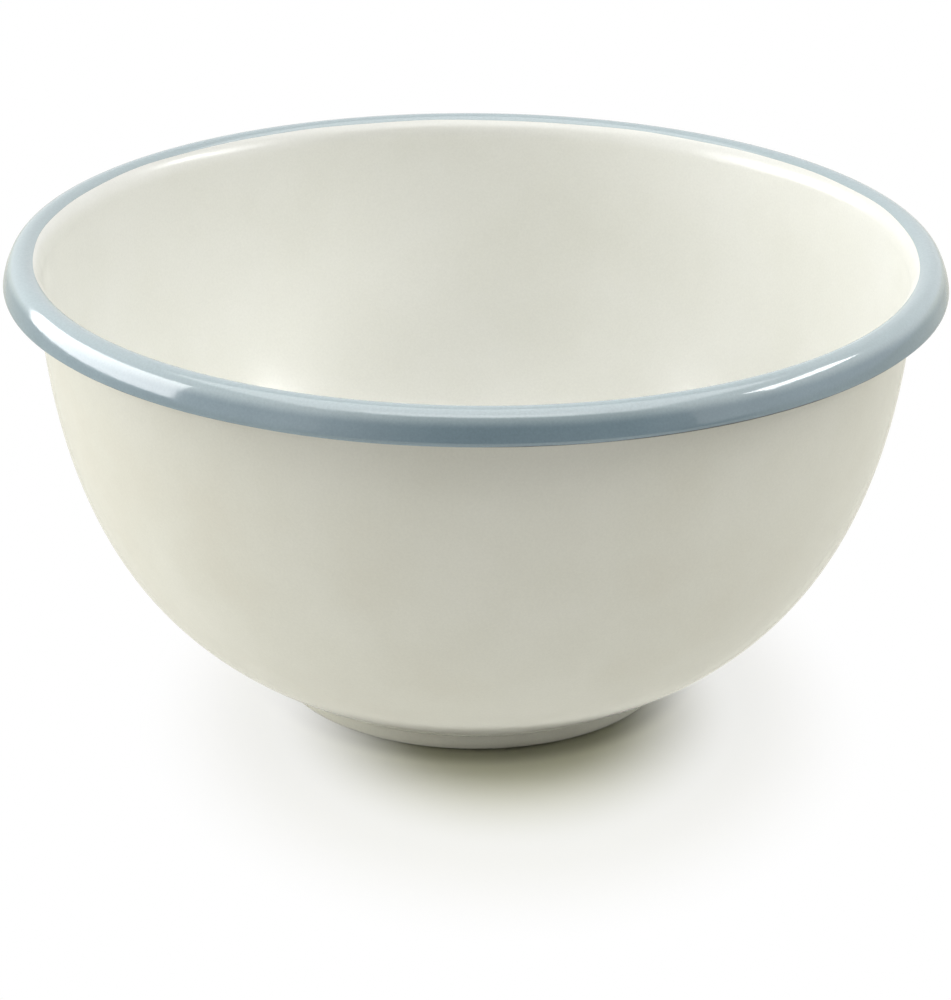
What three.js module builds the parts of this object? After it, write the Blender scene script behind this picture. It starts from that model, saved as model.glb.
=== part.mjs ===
// Enamelled mixing bowl: one pressed steel sheet, fired with ground and cover coats of enamel.
// Units are millimetres and +Z is up. The origin is the middle of the foot's standing plane.
// Every piece follows one sheet line, the middle of the steel, from the axis to the cut edge.
import * as THREE from 'three';

// Overall sizes, over the enamel
const RIM_DIAMETER = 260;
const OVERALL_HEIGHT = 128.5;
const FOOT_DIAMETER = 113;
const FOOT_HEIGHT = 4;

// Thicknesses of the sheet and of its coats, and the bond line between two layers
const STEEL_THICKNESS = 0.7;
const GROUND_COAT = 0.15;
const COVER_COAT = 0.25;
const BOND_LINE = 0.03;

// Foot: a flat standing ring round a panel that is pressed up
const STANDING_RING_WIDTH = 9;
const PANEL_RISE = 1;
const PANEL_SLOPE_RUN = 3;
const FOOT_CORNER_FILLET = 1.2;
const STRAIGHT_WALL_SHARE = 0.25;
const CREASE_FILLET = 1.5;

// Wall: one smooth curve that leaves the foot at a low slope and ends nearly upright
const WALL_START_SLOPE = THREE.MathUtils.degToRad(28);
const WALL_TOP_LEAN = THREE.MathUtils.degToRad(2.6);
const WALL_LOWER_REACH = 27;
const WALL_UPPER_REACH = 82;

// Rolled rim: up to a crown, over a round shoulder, down a slightly rounded flank and into a tight tuck
// that ends in the cut edge of the sheet. The flank's leans are the slopes of its outward normals.
const RIM_WIDTH = 9;
const RIM_INNER_RISE = 6.2;
const SHOULDER_RADIUS = 4;
const FLANK_RADIUS = 19;
const FLANK_TOP_LEAN = THREE.MathUtils.degToRad(27);
const FLANK_LOW_LEAN = THREE.MathUtils.degToRad(10);
const TUCK_RADIUS = 1.6;
const TUCK_SWEEP = THREE.MathUtils.degToRad(75);

// Where the cover coats start and stop
const BLUE_LINE_ANGLE = THREE.MathUtils.degToRad(58);
const COLOUR_JOINT = 0.06;
const BLUE_STOP = THREE.MathUtils.degToRad(14);

// Fineness of the facets
const SEGMENTS_AROUND = 36;
const WALL_STEPS = 8;
const CORNER_STEPS = 2;
const CROWN_STEPS = 1;
const SHOULDER_STEPS = 3;
const FLANK_STEPS = 2;

const GROUND_START = STEEL_THICKNESS / 2 + BOND_LINE;
const GROUND_END = GROUND_START + GROUND_COAT;
const COVER_START = GROUND_END + BOND_LINE;
const COVER_END = COVER_START + COVER_COAT;

const CREAM = 0xe9e7da;
const BLUE = 0xb4c8cf;
const GROUND = 0x23262e;
const STEEL = 0x8f9296;

// A station is a point of the sheet line with its unit normal towards the inside of the bowl.
function station(r, z, headingR, headingZ) {
  const length = Math.hypot(headingR, headingZ);
  return {
    point: new THREE.Vector2(r, z),
    normal: new THREE.Vector2(-headingZ / length, headingR / length),
  };
}

// Stations on an ellipse, from one angle to another, without the first.
function ellipseStations(centreR, centreZ, radiusR, radiusZ, fromAngle, toAngle, steps) {
  const turn = Math.sign(toAngle - fromAngle);
  const stations = [];
  for (let step = 1; step <= steps; step += 1) {
    const angle = fromAngle + ((toAngle - fromAngle) * step) / steps;
    stations.push(station(
      centreR + radiusR * Math.cos(angle),
      centreZ + radiusZ * Math.sin(angle),
      -turn * radiusR * Math.sin(angle),
      turn * radiusZ * Math.cos(angle),
    ));
  }
  return stations;
}

// Floor and foot: the raised panel, the standing ring, the corner, the foot wall and the crease.
function footStations() {
  const wallR = FOOT_DIAMETER / 2 - COVER_END;
  const ringZ = COVER_END;
  const panelZ = ringZ + PANEL_RISE;
  const straightWall = STRAIGHT_WALL_SHARE * (FOOT_HEIGHT - ringZ);
  const cornerRadius = Math.min(FOOT_CORNER_FILLET + COVER_END, FOOT_HEIGHT - ringZ - straightWall);
  const creaseRadius = CREASE_FILLET + COVER_END;
  const ringInnerR = wallR - cornerRadius - STANDING_RING_WIDTH;
  const panelR = ringInnerR - PANEL_SLOPE_RUN;
  const halfSlope = Math.atan2(-PANEL_RISE, PANEL_SLOPE_RUN) / 2;
  return [
    station(0, panelZ, 1, 0),
    station(panelR, panelZ, Math.cos(halfSlope), Math.sin(halfSlope)),
    station(ringInnerR, ringZ, Math.cos(halfSlope), Math.sin(halfSlope)),
    station(wallR - cornerRadius, ringZ, 1, 0),
    ...ellipseStations(
      wallR - cornerRadius, ringZ + cornerRadius, cornerRadius, cornerRadius, -Math.PI / 2, 0, CORNER_STEPS,
    ),
    station(wallR, FOOT_HEIGHT, 0, 1),
    ...ellipseStations(
      wallR + creaseRadius, FOOT_HEIGHT, creaseRadius, creaseRadius,
      Math.PI, Math.PI / 2 + WALL_START_SLOPE, CORNER_STEPS,
    ),
  ];
}

// Wall: a cubic curve from the crease to the foot of the rim.
function wallStations(start, topR, topZ) {
  const upper = new THREE.Vector2(Math.sin(WALL_TOP_LEAN), Math.cos(WALL_TOP_LEAN));
  const lower = new THREE.Vector2(Math.cos(WALL_START_SLOPE), Math.sin(WALL_START_SLOPE));
  const top = new THREE.Vector2(topR, topZ);
  const curve = new THREE.CubicBezierCurve(
    start,
    start.clone().addScaledVector(lower, WALL_LOWER_REACH),
    top.clone().addScaledVector(upper, -WALL_UPPER_REACH),
    top,
  );
  const stations = [];
  for (let step = 1; step <= WALL_STEPS; step += 1) {
    const point = curve.getPointAt(step / WALL_STEPS);
    const heading = curve.getTangentAt(step / WALL_STEPS);
    stations.push(station(point.x, point.y, heading.x, heading.y));
  }
  return stations;
}

// Rim: up from the wall to the blue line and the crown, over the shoulder, down the flank and into the tuck.
function rimStations(wallTopR, wallTopZ) {
  const shoulder = SHOULDER_RADIUS - COVER_END;
  const flank = FLANK_RADIUS - COVER_END;
  const tuck = TUCK_RADIUS - COVER_END;
  const tuckR = RIM_DIAMETER / 2 - TUCK_RADIUS;
  const flankR = tuckR - (flank - tuck) * Math.cos(FLANK_LOW_LEAN);
  const crownR = flankR + (flank - shoulder) * Math.cos(FLANK_TOP_LEAN);
  const shoulderZ = wallTopZ + RIM_INNER_RISE - shoulder;
  const flankZ = shoulderZ - (flank - shoulder) * Math.sin(FLANK_TOP_LEAN);
  const tuckZ = flankZ + (flank - tuck) * Math.sin(FLANK_LOW_LEAN);
  const innerRun = crownR - wallTopR;
  const blueAngle = Math.PI - BLUE_LINE_ANGLE;
  return {
    toBlueLine: ellipseStations(crownR, wallTopZ, innerRun, RIM_INNER_RISE, Math.PI, blueAngle, CORNER_STEPS),
    overCrown: [
      ...ellipseStations(crownR, wallTopZ, innerRun, RIM_INNER_RISE, blueAngle, Math.PI / 2, CROWN_STEPS),
      ...ellipseStations(crownR, shoulderZ, shoulder, shoulder, Math.PI / 2, FLANK_TOP_LEAN, SHOULDER_STEPS),
      ...ellipseStations(flankR, flankZ, flank, flank, FLANK_TOP_LEAN, FLANK_LOW_LEAN, FLANK_STEPS),
      ...ellipseStations(tuckR, tuckZ, tuck, tuck, FLANK_LOW_LEAN, -BLUE_STOP, CORNER_STEPS),
    ],
    bareEdge: ellipseStations(tuckR, tuckZ, tuck, tuck, -BLUE_STOP, -TUCK_SWEEP, CORNER_STEPS),
  };
}

// A station moved along the sheet line, towards the station that follows it.
function slide(from, towards, distance) {
  const shift = towards.point.clone().sub(from.point).setLength(distance);
  return { point: from.point.clone().add(shift), normal: from.normal };
}

// One layer of revolution: the band between two offsets from the sheet line.
function layer(name, stations, lowOffset, highOffset, material) {
  const at = (offset) => stations.map(({ point, normal }) => point.clone().addScaledVector(normal, offset));
  const low = at(lowOffset);
  const high = at(highOffset).reverse();
  const profile = [...low, ...high];
  const reachesAxis = stations[0].point.x === 0;
  if (!reachesAxis) {
    profile.push(low[0].clone());
  }
  const geometry = new THREE.LatheGeometry(profile, SEGMENTS_AROUND);
  geometry.rotateX(Math.PI / 2);
  const mesh = new THREE.Mesh(geometry, material);
  mesh.name = name;
  return mesh;
}

function enamel(color) {
  return new THREE.MeshStandardMaterial({ color, roughness: 0.15, metalness: 0 });
}

const foot = footStations();
const wallTopR = RIM_DIAMETER / 2 - RIM_WIDTH - COVER_END;
const wallTopZ = OVERALL_HEIGHT - COVER_END - RIM_INNER_RISE;
const wall = wallStations(foot.at(-1).point, wallTopR, wallTopZ);
const rim = rimStations(wallTopR, wallTopZ);

const blueLine = rim.toBlueLine.at(-1);
const sheetLine = [...foot, ...wall, ...rim.toBlueLine, ...rim.overCrown, ...rim.bareEdge];
const insideLine = [...foot, ...wall, ...rim.toBlueLine];
const outsideLine = [...foot, ...wall];
const rimLine = [slide(blueLine, rim.overCrown[0], COLOUR_JOINT), ...rim.overCrown];

const bowl = new THREE.Group();
bowl.name = 'enamelled_mixing_bowl';
bowl.add(
  layer(
    'steel_pressing', sheetLine, -STEEL_THICKNESS / 2, STEEL_THICKNESS / 2,
    new THREE.MeshStandardMaterial({ color: STEEL, roughness: 0.4, metalness: 0.9 }),
  ),
  layer('inner_ground_coat', sheetLine, GROUND_START, GROUND_END, enamel(GROUND)),
  layer('outer_ground_coat', sheetLine, -GROUND_END, -GROUND_START, enamel(GROUND)),
  layer('inner_cream_coat', insideLine, COVER_START, COVER_END, enamel(CREAM)),
  layer('rim_blue_coat', rimLine, COVER_START, COVER_END, enamel(BLUE)),
  layer('outer_cream_coat', outsideLine, -COVER_END, -COVER_START, enamel(CREAM)),
);

export default bowl;
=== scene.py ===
"""Enamelled mixing bowl, cream with a pale blue rolled rim, on a white studio floor."""
import math

import bmesh
import bpy
import numpy as np
from mathutils import Matrix, Quaternion, Vector


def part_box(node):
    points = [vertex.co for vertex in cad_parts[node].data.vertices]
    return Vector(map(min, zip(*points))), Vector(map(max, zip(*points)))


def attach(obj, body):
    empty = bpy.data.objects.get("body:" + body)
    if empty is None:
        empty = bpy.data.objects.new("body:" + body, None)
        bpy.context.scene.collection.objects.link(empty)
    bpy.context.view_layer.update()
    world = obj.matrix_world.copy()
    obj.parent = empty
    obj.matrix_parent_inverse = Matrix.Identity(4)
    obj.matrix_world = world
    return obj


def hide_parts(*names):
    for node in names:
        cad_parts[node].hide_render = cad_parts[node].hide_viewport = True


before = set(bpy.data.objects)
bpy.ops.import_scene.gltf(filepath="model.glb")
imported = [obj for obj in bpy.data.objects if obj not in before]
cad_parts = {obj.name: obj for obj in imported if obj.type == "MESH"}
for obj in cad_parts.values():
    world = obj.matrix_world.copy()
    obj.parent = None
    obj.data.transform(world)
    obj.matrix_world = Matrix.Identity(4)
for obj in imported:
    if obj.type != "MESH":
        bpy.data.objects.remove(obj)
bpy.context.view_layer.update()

MM = 0.001
WHITE = (1.0, 1.0, 1.0, 1.0)

# Overall sizes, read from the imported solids
RIM_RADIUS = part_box("rim_blue_coat")[1].x
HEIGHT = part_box("rim_blue_coat")[1].z
WALL_TOP_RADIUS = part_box("outer_cream_coat")[1].x

# Thicknesses of the sheet and its coats, and the bond line between two layers
STEEL_THICKNESS = 0.7 * MM
GROUND_COAT = 0.15 * MM
COVER_COAT = 0.25 * MM
BOND_LINE = 0.03 * MM
GROUND_START = STEEL_THICKNESS / 2 + BOND_LINE
GROUND_END = GROUND_START + GROUND_COAT
COVER_START = GROUND_END + BOND_LINE
COVER_END = COVER_START + COVER_COAT

# Foot: a flat standing ring round a panel that is pressed up
FOOT_RADIUS = 56.5 * MM
FOOT_HEIGHT = 4 * MM
STANDING_RING_WIDTH = 9 * MM
PANEL_RISE = 1 * MM
PANEL_SLOPE_RUN = 3 * MM
FOOT_CORNER_FILLET = 1.2 * MM
CREASE_FILLET = 1.5 * MM

# Wall: one smooth curve that leaves the foot at a low slope and ends nearly upright
WALL_START_SLOPE = math.radians(28)
WALL_TOP_LEAN = math.radians(2.6)
WALL_LOWER_REACH = 27 * MM
WALL_UPPER_REACH = 82 * MM

# Rolled rim: up to a crown, over a round shoulder, down a slightly rounded flank and into a tight tuck
# that ends in the cut edge of the sheet. The flank's leans are the slopes of its outward normals.
RIM_INNER_RISE = 6.2 * MM
SHOULDER_RADIUS = 4 * MM
FLANK_RADIUS = 19 * MM
FLANK_TOP_LEAN = math.radians(27)
FLANK_LOW_LEAN = math.radians(10)
TUCK_RADIUS = 1.6 * MM
TUCK_SWEEP = math.radians(75)

# Inner edge of the blue coat, short of the crown, and how much the sprayed edge wanders
BLUE_LINE_ANGLE = math.radians(58)
BLUE_LINE_WANDER = math.radians(2.5)
BLUE_LINE_SEED = 3
BLUE_LINE_WAVES = (2, 3, 5, 9, 14, 23)
COLOUR_JOINT = math.radians(0.3)

# Lower edge of the blue coat, in the tuck, and how much it wanders. On one side, at the front,
# the coat runs further round the tuck, and the fall sets how narrow that run is.
BLUE_STOP = math.radians(14)
BLUE_STOP_WANDER = math.radians(6)
BLUE_STOP_SEED = 8
BLUE_STOP_WAVES = (3, 7, 13, 22, 31)
BLUE_RUN = math.radians(22)
BLUE_RUN_SIDE = math.radians(259)
BLUE_RUN_FALL = 6

# Fineness of the meshes
SEGMENTS = 192
WALL_RINGS = 40
FLOOR_RINGS = 6
CORNER_RINGS = 6
RIM_RINGS = 10
FLANK_RINGS = 5
WELD_DISTANCE = 0.0001 * MM
SHARP_ANGLE = math.radians(40)

AROUND = np.linspace(0, 2 * math.pi, SEGMENTS, endpoint=False)


def wander(seed, waves):
    """A smooth wavy line round the bowl, between about -1 and 1."""
    random = np.random.default_rng(seed)
    line = np.zeros(SEGMENTS)
    for wave in waves:
        line += random.uniform(0.4, 1.0) * np.sin(wave * AROUND + random.uniform(0, 2 * math.pi))
    return line / np.abs(line).max()


def stations(r, z, heading_r, heading_z):
    """Rings of stations (r, z, normal r, normal z), with normals towards the inside of the bowl.
    Each argument has a row for each ring, which is one value or one for each segment."""
    rings = len(r)
    length = np.hypot(heading_r, heading_z)
    columns = (r, z, -heading_z / length, heading_r / length)
    spread = [np.broadcast_to(column.reshape(rings, -1), (rings, SEGMENTS)) for column in columns]
    return np.stack(spread, axis=-1)


def line_stations(start, stop, rings):
    """Stations on a straight stretch, without the first."""
    share = np.linspace(0, 1, rings + 1)[1:]
    heading = np.ones(rings)
    return stations(
        start[0] + (stop[0] - start[0]) * share,
        start[1] + (stop[1] - start[1]) * share,
        (stop[0] - start[0]) * heading,
        (stop[1] - start[1]) * heading,
    )


def ellipse_stations(centre, radii, start, stop, rings, first=False):
    """Stations on an ellipse, with or without the first. Start and stop are angles, or one angle for
    each segment."""
    share = np.linspace(0, 1, rings + 1)[0 if first else 1:, None]
    angle = start + (stop - start) * share
    turn = np.sign(np.mean(stop - start))
    return stations(
        centre[0] + radii[0] * np.cos(angle),
        centre[1] + radii[1] * np.sin(angle),
        -turn * radii[0] * np.sin(angle),
        turn * radii[1] * np.cos(angle),
    )


def foot_stations():
    """The raised panel, the standing ring, the corner, the foot wall and the crease."""
    wall_r = FOOT_RADIUS - COVER_END
    ring_z = COVER_END
    panel_z = ring_z + PANEL_RISE
    corner = FOOT_CORNER_FILLET + COVER_END
    crease = CREASE_FILLET + COVER_END
    ring_r = wall_r - corner - STANDING_RING_WIDTH
    panel_r = ring_r - PANEL_SLOPE_RUN
    return np.concatenate([
        stations(np.zeros(1), np.full(1, panel_z), np.ones(1), np.zeros(1)),
        line_stations((0, panel_z), (panel_r, panel_z), FLOOR_RINGS),
        line_stations((panel_r, panel_z), (ring_r, ring_z), CORNER_RINGS),
        line_stations((ring_r, ring_z), (wall_r - corner, ring_z), rings=2),
        ellipse_stations(
            (wall_r - corner, ring_z + corner), (corner, corner), -math.pi / 2, 0, CORNER_RINGS,
        ),
        line_stations((wall_r, ring_z + corner), (wall_r, FOOT_HEIGHT), rings=1),
        ellipse_stations(
            (wall_r + crease, FOOT_HEIGHT), (crease, crease),
            math.pi, math.pi / 2 + WALL_START_SLOPE, CORNER_RINGS,
        ),
    ])


def wall_stations(start, top):
    """A cubic curve from the crease to the foot of the rim."""
    start, top = np.array(start), np.array(top)
    leaving = np.array([math.cos(WALL_START_SLOPE), math.sin(WALL_START_SLOPE)])
    arriving = np.array([math.sin(WALL_TOP_LEAN), math.cos(WALL_TOP_LEAN)])
    lower = start + WALL_LOWER_REACH * leaving
    upper = top - WALL_UPPER_REACH * arriving
    t = np.linspace(0, 1, WALL_RINGS + 1)[1:, None]
    s = 1 - t
    point = s**3 * start + 3 * s**2 * t * lower + 3 * s * t**2 * upper + t**3 * top
    heading = s**2 * (lower - start) + 2 * s * t * (upper - lower) + t**2 * (top - upper)
    return stations(point[:, 0], point[:, 1], heading[:, 0], heading[:, 1])


class Rim:
    """The crown, shoulder, flank and tuck of the rolled rim, in stretches that the layers share."""

    def __init__(self, wall_top):
        self.shoulder_radius = SHOULDER_RADIUS - COVER_END
        self.flank_radius = FLANK_RADIUS - COVER_END
        self.tuck_radius = TUCK_RADIUS - COVER_END
        top_lean = np.array([math.cos(FLANK_TOP_LEAN), math.sin(FLANK_TOP_LEAN)])
        low_lean = np.array([math.cos(FLANK_LOW_LEAN), math.sin(FLANK_LOW_LEAN)])
        flank_from_shoulder = (self.shoulder_radius - self.flank_radius) * top_lean
        tuck_from_flank = (self.flank_radius - self.tuck_radius) * low_lean
        turn = flank_from_shoulder + tuck_from_flank
        crown_r = RIM_RADIUS - TUCK_RADIUS - turn[0]
        crown_z = wall_top[1] + RIM_INNER_RISE
        self.shoulder_centre = np.array([crown_r, crown_z - self.shoulder_radius])
        self.flank_centre = self.shoulder_centre + flank_from_shoulder
        self.tuck_centre = self.shoulder_centre + turn
        self.inner_centre = (crown_r, wall_top[1])
        self.inner_radii = (crown_r - wall_top[0], RIM_INNER_RISE)

    def inner(self, start, stop, first=False):
        """A stretch of the curve from the wall's top, at half a turn, to the crown, at a quarter."""
        return ellipse_stations(self.inner_centre, self.inner_radii, start, stop, RIM_RINGS, first)

    def outer(self):
        """From the crown over the shoulder and down the flank."""
        shoulder = (self.shoulder_radius, self.shoulder_radius)
        flank = (self.flank_radius, self.flank_radius)
        return np.concatenate([
            ellipse_stations(self.shoulder_centre, shoulder, math.pi / 2, FLANK_TOP_LEAN, RIM_RINGS),
            ellipse_stations(self.flank_centre, flank, FLANK_TOP_LEAN, FLANK_LOW_LEAN, FLANK_RINGS),
        ])

    def tuck(self, stop):
        """From the flank round the tuck, as far as an angle."""
        radii = (self.tuck_radius, self.tuck_radius)
        return ellipse_stations(self.tuck_centre, radii, FLANK_LOW_LEAN, stop, CORNER_RINGS)


def ring_points(line, offset):
    """The rings of a layer's face, as x, y, z, at an offset from the sheet line."""
    r = line[..., 0] + offset * line[..., 2]
    z = line[..., 1] + offset * line[..., 3]
    return np.stack([r * np.cos(AROUND), r * np.sin(AROUND), z], axis=-1)


def layer_piece(name, node, line, low_offset, high_offset, material):
    """One layer of revolution between two offsets from the sheet line, in place of its CAD node."""
    rings = np.concatenate([ring_points(line, low_offset), ring_points(line, high_offset)[::-1]])
    count = len(rings)
    reaches_axis = bool(np.all(line[0, :, 0] == 0))
    mesh = bpy.data.meshes.new(name)
    build = bmesh.new()
    grid = [[build.verts.new(point) for point in ring] for ring in rings]
    for index in range(count - 1 if reaches_axis else count):
        near, far = grid[index], grid[(index + 1) % count]
        for k in range(SEGMENTS):
            after = (k + 1) % SEGMENTS
            build.faces.new((near[k], near[after], far[after], far[k]))
    bmesh.ops.remove_doubles(build, verts=build.verts, dist=WELD_DISTANCE)
    bmesh.ops.recalc_face_normals(build, faces=build.faces)
    build.to_mesh(mesh)
    build.free()
    mesh.shade_smooth()
    mesh.set_sharp_from_angle(angle=SHARP_ANGLE)
    mesh.materials.append(material)
    piece = bpy.data.objects.new(name, mesh)
    bpy.context.scene.collection.objects.link(piece)
    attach(piece, "root")
    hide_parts(node)


# The colour sockets of a Mix node, whose names it shares with its other sockets
MIX_FIRST = 6
MIX_SECOND = 7
MIX_RESULT = 2


class Nodes:
    """A short way to add and join shader nodes. A value is a node's output socket or a plain value."""

    def __init__(self, tree):
        self.tree = tree
        tree.nodes.clear()

    def add(self, kind, **settings):
        """A node whose properties, or else the plain values of its inputs, are set by name."""
        node = self.tree.nodes.new(kind)
        for key, value in settings.items():
            if hasattr(node, key):
                setattr(node, key, value)
            else:
                node.inputs[key.replace("_", " ")].default_value = value
        return node

    def feed(self, value, socket):
        """Gives a value to an input socket."""
        if isinstance(value, bpy.types.NodeSocket):
            self.tree.links.new(value, socket)
        else:
            socket.default_value = value

    def place(self, kind="Object"):
        """The coordinates of the shaded point."""
        return self.add("ShaderNodeTexCoord").outputs[kind]

    def axis(self, vector, name):
        """One coordinate of a vector."""
        split = self.add("ShaderNodeSeparateXYZ")
        self.feed(vector, split.inputs["Vector"])
        return split.outputs[name]

    def math(self, operation, *values):
        """The result of a Math node."""
        node = self.add("ShaderNodeMath", operation=operation)
        for value, socket in zip(values, node.inputs):
            self.feed(value, socket)
        return node.outputs["Value"]

    def vector_math(self, operation, *values, result="Vector"):
        """The result of a Vector Math node: a vector or, as Value, a number."""
        node = self.add("ShaderNodeVectorMath", operation=operation)
        for value, socket in zip(values, node.inputs):
            self.feed(value, socket)
        return node.outputs[result]

    def map_range(self, value, start, stop, low=0.0, high=1.0, curve="LINEAR"):
        """A number that goes from low to high while the value goes from start to stop."""
        node = self.add(
            "ShaderNodeMapRange", interpolation_type=curve,
            From_Min=start, From_Max=stop, To_Min=low, To_Max=high,
        )
        self.feed(value, node.inputs["Value"])
        return node.outputs["Result"]

    def smooth_step(self, value, start, stop, low=0.0):
        """A number that eases from low to 1 while the value goes from start to stop."""
        return self.map_range(value, start, stop, low, curve="SMOOTHSTEP")

    def noise(self, place, scale, detail, roughness):
        """The numbers of a noise texture."""
        node = self.add("ShaderNodeTexNoise", Scale=scale, Detail=detail, Roughness=roughness)
        self.feed(place, node.inputs["Vector"])
        return node.outputs["Fac"]

    def mix_colours(self, share, first, second):
        """A blend of two colours."""
        node = self.add("ShaderNodeMix", data_type="RGBA")
        self.feed(share, node.inputs["Factor"])
        self.feed(first, node.inputs[MIX_FIRST])
        self.feed(second, node.inputs[MIX_SECOND])
        return node.outputs[MIX_RESULT]

    def mix_shaders(self, share, first, second):
        """A blend of two shaders."""
        node = self.add("ShaderNodeMixShader")
        self.feed(share, node.inputs["Fac"])
        self.feed(first, node.inputs[1])
        self.feed(second, node.inputs[2])
        return node.outputs["Shader"]

    def ray_kinds(self):
        """Two numbers: 1 for rays that reflections or glass send out, and 1 for rays from the camera."""
        path = self.add("ShaderNodeLightPath")
        gloss = self.math("MAXIMUM", path.outputs["Is Glossy Ray"], path.outputs["Is Transmission Ray"])
        return gloss, path.outputs["Is Camera Ray"]

    def surface(self, shader, kind="ShaderNodeOutputMaterial"):
        """Makes a shader the result of the whole tree."""
        self.feed(shader, self.add(kind).inputs["Surface"])


def new_material(name):
    """An empty material and the nodes to fill it with."""
    material = bpy.data.materials.new(name)
    material.use_nodes = True
    return material, Nodes(material.node_tree)


def linear(red, green, blue):
    """A colour given as 8-bit sRGB values, as the linear values that a shader takes."""
    def decode(value):
        share = value / 255
        return share / 12.92 if share <= 0.04045 else ((share + 0.055) / 1.055) ** 2.4
    return (decode(red), decode(green), decode(blue), 1.0)


# Enamel: broad clouds of colour, a soft ripple and fine specks. Most noise lies between low and high.
CLOUD_SCALE = 28.0
RIPPLE_SCALE = 260.0
SPECK_SCALE = 1500.0
NOISE_LOW = 0.3
NOISE_MIDDLE = 0.5
NOISE_HIGH = 0.7
RIPPLE_DEPTH = 0.04 * MM
RIPPLE_STRENGTH = 0.6
SPECK_DEPTH = 0.006 * MM
SPECK_STRENGTH = 0.25

# How the roughness drifts with the clouds: the noise that it follows, and its least and greatest share
GLOSS_NOISE_LOW = 0.35
GLOSS_NOISE_HIGH = 0.65
LEAST_ROUGHNESS = 0.8
GREATEST_ROUGHNESS = 1.25

# Painted light and shade on the blue coat: it keeps its deep colour up to the first depth below the
# crown and is pale from the second, so the crown looks lit and the flank shaded
PAINTED_LIGHT_LOW = 4.3 * MM
PAINTED_LIGHT_HIGH = 1.5 * MM
PAINTED_LIGHT_DRIFT = 0.8 * MM


def cloudy_colour(nodes, cloud, deep, colour, pale):
    """A colour that drifts between a deeper and a paler one."""
    tone = nodes.add("ShaderNodeValToRGB")
    tone.color_ramp.elements[0].position = NOISE_LOW
    tone.color_ramp.elements[0].color = deep
    tone.color_ramp.elements[1].position = NOISE_HIGH
    tone.color_ramp.elements[1].color = pale
    tone.color_ramp.elements.new(NOISE_MIDDLE).color = colour
    nodes.feed(cloud, tone.inputs["Fac"])
    return tone.outputs["Color"]


def painted_light_share(nodes, place, cloud):
    """How much painted light the blue takes, from 0 to 1 towards the crown, along a slightly cloudy
    line.
    """
    height = nodes.math("MULTIPLY_ADD", cloud, PAINTED_LIGHT_DRIFT, nodes.axis(place, "Z"))
    crown = HEIGHT + PAINTED_LIGHT_DRIFT / 2
    return nodes.smooth_step(height, crown - PAINTED_LIGHT_LOW, crown - PAINTED_LIGHT_HIGH)


def melted_normal(nodes, speck, ripple):
    """Normals with the fine specks and the soft ripple of melted glass."""
    fine = nodes.add("ShaderNodeBump", Strength=SPECK_STRENGTH, Distance=SPECK_DEPTH)
    nodes.feed(speck, fine.inputs["Height"])
    soft = nodes.add("ShaderNodeBump", Strength=RIPPLE_STRENGTH, Distance=RIPPLE_DEPTH)
    nodes.feed(ripple, soft.inputs["Height"])
    nodes.feed(fine.outputs["Normal"], soft.inputs["Normal"])
    return soft.outputs["Normal"]


def enamel_material(name, colour, pale, deep, grain, roughness, index, painted_crown_light=None):
    """Glossy fired enamel: cloudy colour, fine grain, and the soft ripple of melted glass.
    A painted crown light, where given, is a paler colour painted over the crown, which stands for light
    falling on it."""
    material, nodes = new_material(name)
    place = nodes.place()
    cloud = nodes.noise(place, CLOUD_SCALE, detail=3.0, roughness=0.5)
    speck = nodes.noise(place, SPECK_SCALE, detail=2.0, roughness=0.6)
    ripple = nodes.noise(place, RIPPLE_SCALE, detail=1.0, roughness=0.4)
    coat = cloudy_colour(nodes, cloud, deep, colour, pale)
    # Painted light: towards the crown the colour is blended into a paler one
    if painted_crown_light is not None:
        coat = nodes.mix_colours(painted_light_share(nodes, place, cloud), coat, painted_crown_light)
    dust = nodes.map_range(speck, NOISE_LOW, NOISE_HIGH, low=1 - grain, high=1 + grain)
    gloss = nodes.map_range(
        cloud, GLOSS_NOISE_LOW, GLOSS_NOISE_HIGH,
        low=roughness * LEAST_ROUGHNESS, high=roughness * GREATEST_ROUGHNESS,
    )
    shader = nodes.add("ShaderNodeBsdfPrincipled", IOR=index)
    nodes.feed(nodes.vector_math("MULTIPLY", coat, dust), shader.inputs["Base Color"])
    nodes.feed(gloss, shader.inputs["Roughness"])
    nodes.feed(melted_normal(nodes, speck, ripple), shader.inputs["Normal"])
    nodes.surface(shader.outputs["BSDF"])
    return material


def steel_material():
    """Rolled sheet steel, mottled finely, seen only at the cut edge."""
    material, nodes = new_material("sheet_steel")
    mottle = nodes.noise(nodes.place(), 700.0, detail=3.0, roughness=0.5)
    tone = nodes.add("ShaderNodeValToRGB")
    tone.color_ramp.elements[0].color = linear(96, 97, 100)
    tone.color_ramp.elements[1].color = linear(168, 169, 172)
    nodes.feed(mottle, tone.inputs["Fac"])
    shader = nodes.add("ShaderNodeBsdfPrincipled", Metallic=1.0, Roughness=0.4)
    nodes.feed(tone.outputs["Color"], shader.inputs["Base Color"])
    nodes.surface(shader.outputs["BSDF"])
    return material


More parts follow.
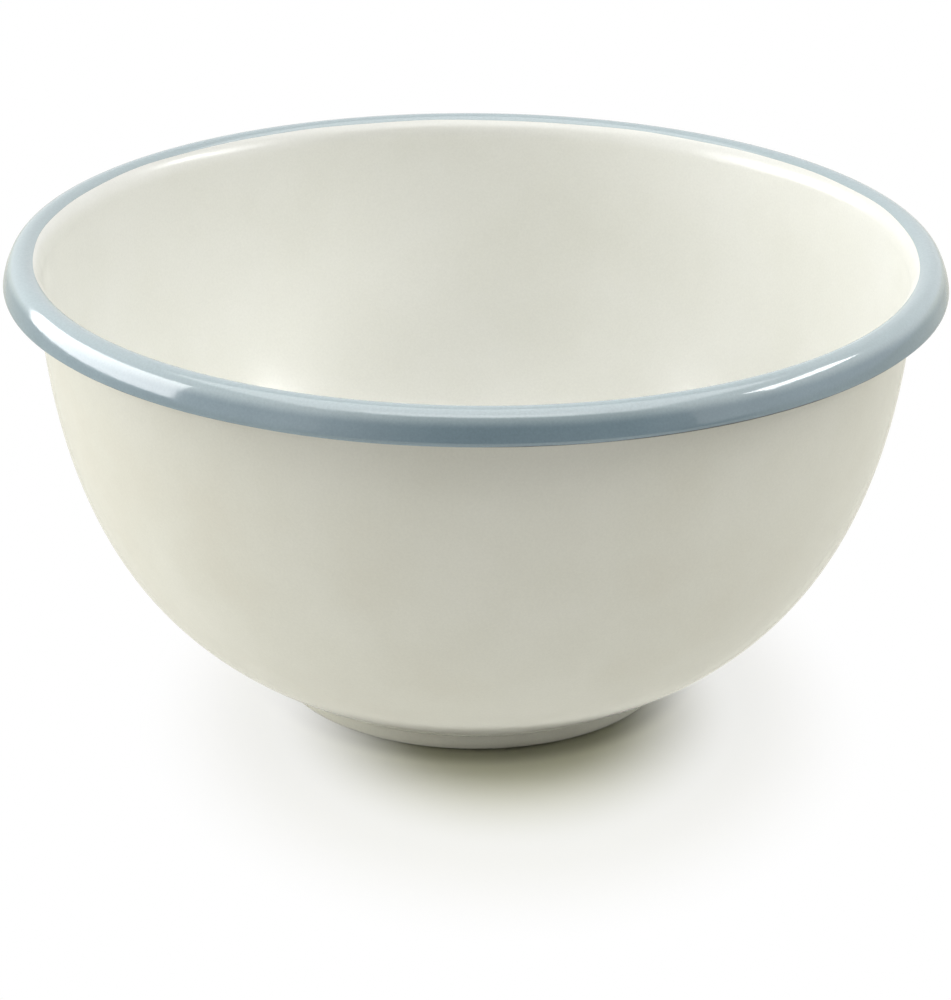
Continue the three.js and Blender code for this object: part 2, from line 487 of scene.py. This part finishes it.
def make_bowl():
    """The sheet and its five coats, all from one sheet line."""
    # Painted light and shade: the cream is drawn lighter inside and darker outside, as lit and shaded
    # copies of one colour
    cream_painted_light = enamel_material(
        "cream_enamel_painted_light_inside",
        colour=linear(243, 243, 236), pale=linear(245, 245, 239), deep=linear(240, 240, 232),
        grain=0.02, roughness=0.21, index=1.62,
    )
    cream_painted_shade = enamel_material(
        "cream_enamel_painted_shade_outside",
        colour=linear(221, 220, 206), pale=linear(224, 223, 210), deep=linear(218, 216, 201),
        grain=0.02, roughness=0.09, index=1.62,
    )
    # The blue's paler colour over the crown is painted light, and its deep colour on the flank painted
    # shade
    blue = enamel_material(
        "blue_enamel",
        colour=linear(127, 147, 156), pale=linear(133, 153, 162), deep=linear(121, 141, 150),
        grain=0.05, roughness=0.1, index=1.85, painted_crown_light=linear(175, 191, 195),
    )
    ground = enamel_material(
        "ground_enamel",
        colour=linear(46, 51, 56), pale=linear(58, 62, 66), deep=linear(36, 40, 46),
        grain=0.1, roughness=0.5, index=1.5,
    )
    steel = steel_material()

    foot = foot_stations()
    wall_top = (WALL_TOP_RADIUS - COVER_END, HEIGHT - COVER_END - RIM_INNER_RISE)
    wall = wall_stations(foot[-1, 0, :2], wall_top)
    rim = Rim(wall_top)

    line_wander = BLUE_LINE_WANDER * wander(BLUE_LINE_SEED, BLUE_LINE_WAVES)
    blue_line = math.pi - BLUE_LINE_ANGLE + line_wander
    blue_run = BLUE_RUN * np.maximum(0, np.cos(AROUND - BLUE_RUN_SIDE)) ** BLUE_RUN_FALL
    stop_wander = BLUE_STOP_WANDER * wander(BLUE_STOP_SEED, BLUE_STOP_WAVES)
    blue_stop = -BLUE_STOP - blue_run + stop_wander
    to_line = rim.inner(math.pi, blue_line)
    from_line = rim.inner(blue_line - COLOUR_JOINT, math.pi / 2, first=True)
    to_crown = rim.inner(math.pi, math.pi / 2)
    sheet = np.concatenate([foot, wall, to_crown, rim.outer(), rim.tuck(-TUCK_SWEEP)])
    inside = np.concatenate([foot, wall, to_line])
    outside = np.concatenate([foot, wall])
    over_rim = np.concatenate([from_line, rim.outer(), rim.tuck(blue_stop)])

    half_steel = STEEL_THICKNESS / 2
    layer_piece(
        "bowl_sheet", "steel_pressing", sheet, -half_steel, half_steel, steel,
    )
    layer_piece(
        "ground_inside", "inner_ground_coat", sheet, GROUND_START, GROUND_END, ground,
    )
    layer_piece(
        "ground_outside", "outer_ground_coat", sheet, -GROUND_END, -GROUND_START, ground,
    )
    layer_piece(
        "cream_inside", "inner_cream_coat", inside, COVER_START, COVER_END, cream_painted_light,
    )
    layer_piece(
        "blue_rim", "rim_blue_coat", over_rim, COVER_START, COVER_END, blue,
    )
    layer_piece(
        "cream_outside", "outer_cream_coat", outside, -COVER_END, -COVER_START, cream_painted_shade,
    )


# Camera: a long lens a metre away, a little above the rim, rolled slightly as the photograph is
LENS_MM = 129.6
SENSOR_MM = 36.0
CLIP_START = 0.05
CLIP_END = 20.0
CAMERA_DISTANCE = 1.0229
CAMERA_ELEVATION = math.radians(22.7)
CAMERA_ROLL = math.radians(0.44)
AIM = (0.3 * MM, 0.0, 51.7 * MM)


def make_camera():
    """The camera in front of the bowl."""
    data = bpy.data.cameras.new("camera")
    data.lens = LENS_MM
    data.sensor_width = SENSOR_MM
    data.clip_start = CLIP_START
    data.clip_end = CLIP_END
    camera = bpy.data.objects.new("camera", data)
    bpy.context.scene.collection.objects.link(camera)
    back = Vector((0, -math.cos(CAMERA_ELEVATION), math.sin(CAMERA_ELEVATION)))
    side = Vector((1, 0, 0))
    up = back.cross(side)
    right = math.cos(CAMERA_ROLL) * side + math.sin(CAMERA_ROLL) * up
    turn = Matrix((right, back.cross(right), back)).transposed()
    place = Vector(AIM) + CAMERA_DISTANCE * back
    camera.matrix_world = Matrix.Translation(place) @ turn.to_4x4()
    bpy.context.scene.camera = camera


def plain_sheet(name, corners, material):
    """A flat sheet of the studio, which is no part of the bowl."""
    mesh = bpy.data.meshes.new(name)
    mesh.from_pydata(corners, [], [tuple(range(len(corners)))])
    mesh.materials.append(material)
    sheet = bpy.data.objects.new(name, mesh)
    bpy.context.scene.collection.objects.link(sheet)
    return sheet


FLOOR_HALF_WIDTH = 6.0
FLOOR_DROP = 0.05 * MM

# The floor's colours: for the light that it throws back; for the camera, a painted shadow beside the
# foot and a painted shade further out, both over the cast shadow, and white on the open floor; and for
# reflections of the open floor
FLOOR_FOR_LIGHT = WHITE
FLOOR_PAINTED_CONTACT_SHADOW = (0.42, 0.42, 0.32, 1.0)
FLOOR_PAINTED_SHADE = (0.69, 0.69, 0.55, 1.0)
FLOOR_IN_VIEW = WHITE
FLOOR_IN_GLOSS = (0.8, 0.79, 0.7, 1.0)

# Beside the foot the camera sees the darkest painted shadow, and reflections see the shaded floor
FOOT_SHADE_INNER = FOOT_RADIUS + 1.5 * MM
FOOT_SHADE_OUTER = FOOT_RADIUS + 9 * MM

# The oval of painted shade that the camera sees, round a centre in front of the axis, and how much of it
# fades out more slowly beyond that
SHADE_CENTRE = (9 * MM, -25 * MM, 0.0)
SHADE_NARROWING = (1.0, 0.75, 0.0)
SHADE_INNER = 30 * MM
SHADE_OUTER = 66 * MM
FAINT_SHADE = 0.23
FAINT_SHADE_INNER = 66 * MM
FAINT_SHADE_OUTER = 104 * MM


def make_floor():
    """A white floor, a hair under the standing ring, which shows the bowl's cast shadow, darkened by a
    painted shadow in an oval round the foot that only the camera sees.
    """
    material, nodes = new_material("studio_floor")
    gloss, camera = nodes.ray_kinds()
    spot = nodes.place()
    from_axis = nodes.vector_math("LENGTH", spot, result="Value")
    clear_of_foot = nodes.smooth_step(from_axis, FOOT_SHADE_INNER, FOOT_SHADE_OUTER)
    oval = nodes.vector_math(
        "MULTIPLY", nodes.vector_math("SUBTRACT", spot, SHADE_CENTRE), SHADE_NARROWING,
    )
    reach = nodes.vector_math("LENGTH", oval, result="Value")
    out_of_shade = nodes.smooth_step(reach, SHADE_INNER, SHADE_OUTER)
    out_of_faint = nodes.smooth_step(reach, FAINT_SHADE_INNER, FAINT_SHADE_OUTER, low=1 - FAINT_SHADE)
    open_floor = nodes.math("MULTIPLY", out_of_shade, out_of_faint)
    open_to_camera = nodes.math("MULTIPLY", open_floor, camera)
    open_to_gloss = nodes.math("MULTIPLY", clear_of_foot, gloss)

    # Painted shadow: for the camera the floor's colour is darkest beside the foot and darker inside the
    # oval
    shade = nodes.mix_colours(clear_of_foot, FLOOR_PAINTED_CONTACT_SHADOW, FLOOR_PAINTED_SHADE)
    shaded = nodes.add("ShaderNodeBsdfDiffuse")
    nodes.feed(nodes.mix_colours(camera, FLOOR_FOR_LIGHT, shade), shaded.inputs["Color"])
    plain = nodes.add("ShaderNodeEmission", Strength=1.0)
    nodes.feed(nodes.mix_colours(gloss, FLOOR_IN_VIEW, FLOOR_IN_GLOSS), plain.inputs["Color"])
    seen_open = nodes.math("MAXIMUM", open_to_camera, open_to_gloss)
    nodes.surface(nodes.mix_shaders(seen_open, shaded.outputs["BSDF"], plain.outputs["Emission"]))

    corners = [
        (-FLOOR_HALF_WIDTH, -FLOOR_HALF_WIDTH, -FLOOR_DROP),
        (FLOOR_HALF_WIDTH, -FLOOR_HALF_WIDTH, -FLOOR_DROP),
        (FLOOR_HALF_WIDTH, FLOOR_HALF_WIDTH, -FLOOR_DROP),
        (-FLOOR_HALF_WIDTH, FLOOR_HALF_WIDTH, -FLOOR_DROP),
    ]
    plain_sheet("studio_floor", corners, material)


# Dark cards, one upright behind the camera and one that lies before it. They are darkest a little to the
# right of the camera and pale towards their sides.
CARD_MIDDLE = 0.5
CARD_HALF_WIDTH = 1.8
CARD_DARK_HALF = CARD_HALF_WIDTH / 3
CARD_NEAR = -0.8
CARD_FAR = -1.9
CARD_TOP = 2.0
CARD_LIFT = 1 * MM
CARD_DARK = (0.03, 0.03, 0.03, 1.0)
CARD_PALE = (0.8, 0.8, 0.8, 1.0)


def make_front_cards():
    """The dark cards, which keep the front of the rim dark and which the camera doesn't see."""
    material, nodes = new_material("dark_card")
    offset = nodes.math("SUBTRACT", nodes.axis(nodes.place(), "X"), CARD_MIDDLE)
    fade = nodes.smooth_step(nodes.math("ABSOLUTE", offset), CARD_DARK_HALF, CARD_HALF_WIDTH)
    shader = nodes.add("ShaderNodeBsdfDiffuse")
    nodes.feed(nodes.mix_colours(fade, CARD_DARK, CARD_PALE), shader.inputs["Color"])
    nodes.surface(shader.outputs["BSDF"])

    left, right = CARD_MIDDLE - CARD_HALF_WIDTH, CARD_MIDDLE + CARD_HALF_WIDTH
    upright = [
        (left, CARD_FAR, CARD_LIFT), (right, CARD_FAR, CARD_LIFT),
        (right, CARD_FAR, CARD_TOP), (left, CARD_FAR, CARD_TOP),
    ]
    lying = [
        (left, CARD_NEAR, CARD_LIFT), (left, CARD_FAR, CARD_LIFT),
        (right, CARD_FAR, CARD_LIFT), (right, CARD_NEAR, CARD_LIFT),
    ]
    for name, corners in (("upright_card", upright), ("lying_card", lying)):
        card = plain_sheet(name, corners, material)
        card.visible_camera = False


# Brightness of the surroundings as a source of light, and how it changes to the right, backwards and up:
# they are brighter behind, on the left and above, and dim in front and on the right
AMBIENT = 0.19
AMBIENT_SLOPE = (-0.12, 0.24, 0.1)
LEAST_AMBIENT = 0.0


def make_world():
    """Soft surroundings for light, and plain white where the camera or a reflection sees them."""
    world = bpy.data.worlds.new("studio")
    world.use_nodes = True
    bpy.context.scene.world = world
    nodes = Nodes(world.node_tree)
    slope = nodes.vector_math("DOT_PRODUCT", nodes.place("Generated"), AMBIENT_SLOPE, result="Value")
    ambient = nodes.math("MAXIMUM", nodes.math("ADD", slope, AMBIENT), LEAST_AMBIENT)
    light = nodes.add("ShaderNodeBackground", Color=WHITE)
    nodes.feed(ambient, light.inputs["Strength"])
    plain = nodes.add("ShaderNodeBackground", Color=WHITE, Strength=1.0)
    gloss, camera = nodes.ray_kinds()
    seen = nodes.math("MAXIMUM", camera, gloss)
    nodes.surface(
        nodes.mix_shaders(seen, light.outputs["Background"], plain.outputs["Background"]),
        kind="ShaderNodeOutputWorld",
    )


def make_softbox(name, azimuth, elevation, distance, width, height, radiance, roll=0):
    """A flat panel light that faces the bowl. Azimuth is in degrees to the right of straight back,
    and radiance is the brightness that its reflection has in a mirror."""
    data = bpy.data.lights.new(name, "AREA")
    data.shape = "RECTANGLE"
    data.size = width
    data.size_y = height
    data.energy = radiance * math.pi * width * height
    light = bpy.data.objects.new(name, data)
    bpy.context.scene.collection.objects.link(light)
    side, lift = math.radians(azimuth), math.radians(elevation)
    towards = Vector((math.cos(lift) * math.sin(side), math.cos(lift) * math.cos(side), math.sin(lift)))
    turn = towards.to_track_quat("Z", "Y") @ Quaternion((0, 0, 1), math.radians(roll))
    place = Vector((0, 0, HEIGHT)) + distance * towards
    light.matrix_world = Matrix.Translation(place) @ turn.to_matrix().to_4x4()


def make_lights():
    """A broad panel on the left and a narrow one on the right, which draw the rim's highlights, a big
    dim one overhead and a weak one in front."""
    make_softbox(
        "left_softbox", azimuth=-81, elevation=13, distance=1.5,
        width=1.6, height=0.72, radiance=4.4, roll=5,
    )
    make_softbox(
        "right_softbox", azimuth=92, elevation=30, distance=1.5,
        width=0.94, height=0.28, radiance=8.0, roll=15,
    )
    make_softbox(
        "top_softbox", azimuth=180, elevation=84, distance=2.2,
        width=3.2, height=2.8, radiance=1.3,
    )
    make_softbox(
        "front_softbox", azimuth=180, elevation=58, distance=2.2,
        width=1.6, height=0.8, radiance=0.8,
    )


make_camera()
make_bowl()
make_floor()
make_front_cards()
make_world()
make_lights()
bpy.context.scene.view_settings.view_transform = "Standard"
